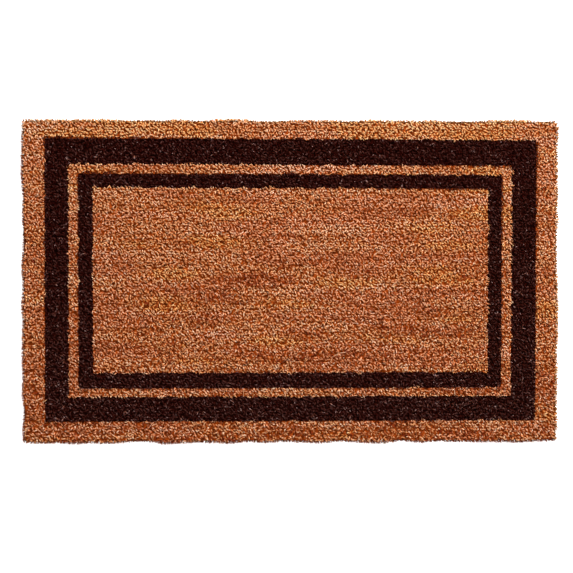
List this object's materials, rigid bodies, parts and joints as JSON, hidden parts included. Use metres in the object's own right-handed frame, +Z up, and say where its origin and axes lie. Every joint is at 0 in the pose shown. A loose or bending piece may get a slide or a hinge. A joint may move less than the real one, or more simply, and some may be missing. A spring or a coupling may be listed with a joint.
{
  "type": "door mat",
  "caption": "Rectangular coir-pile door mat on a flexible vinyl backing, with a dark dyed frame pattern round a plain centre, for wiping shoes.",
  "frame": {"origin": "on the floor, under the middle of the mat: the centre of the vinyl backing's underside", "axes": "+X along the mat's length; +Y across it, from the front edge to the back edge; +Z up, out of the pile"},
  "size_m": [0.762, 0.4572, 0.015],
  "materials": {
    "natural_coir": "matte",
    "dyed_coir": "matte",
    "vinyl": "matte"
  },
  "bodies": {
    "root": {"vinyl_backing": "vinyl", "coir_outer_margin": "natural_coir", "coir_wide_border": "dyed_coir", "coir_divider_stripe": "natural_coir", "coir_narrow_border": "dyed_coir", "coir_centre_field": "natural_coir"}
  },
  "joints": []
}
